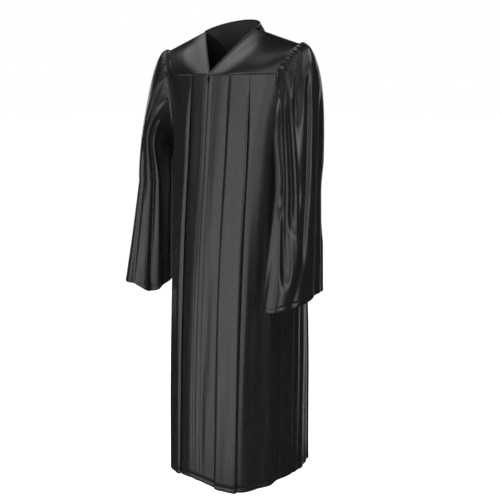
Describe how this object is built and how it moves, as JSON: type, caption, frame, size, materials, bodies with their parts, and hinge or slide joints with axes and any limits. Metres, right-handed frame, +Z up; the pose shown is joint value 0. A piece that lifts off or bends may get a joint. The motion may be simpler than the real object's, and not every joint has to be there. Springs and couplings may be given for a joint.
{
  "type": "graduation gown",
  "caption": "Long open-hem academic gown in its worn hollow form, with smooth yokes, pleated fronts and back, gathered bell sleeves, a V neck and a concealed front zip.",
  "frame": {"origin": "middle of the neck opening, level with the neck ends of the shoulder seams, where the wearer's shoulders hold the gown", "axes": "+Z up along the gown, the front faces -Y, and +X is the wearer's left"},
  "size_m": [0.6756, 0.4169, 1.378],
  "materials": {
    "satin": "black satin weave with a soft lengthwise sheen",
    "rolled_edge": "the same satin rolled over a narrow edge",
    "zip_metal": "black enamel, semi-gloss"
  },
  "bodies": {
    "garment": {"back": "satin", "fly": "satin", "front_left": "satin", "front_right": "satin", "sleeve_left": "satin", "sleeve_right": "satin", "yoke_back": "satin", "yoke_front_left": "satin", "yoke_front_right": "satin", "neck_edge_back": "rolled_edge", "neck_edge_left": "rolled_edge", "neck_edge_right": "rolled_edge", "zip_slider": "zip_metal"},
    "pull_tab": {"zip_pull": "zip_metal"}
  },
  "joints": [
    {"name": "pull_tab_swing", "type": "hinge", "parent": "garment", "child": "pull_tab", "pos_m": [0, -0.10052, -0.1408], "axis": [-1, 0, 0], "range_deg": [0, 150]}
  ]
}
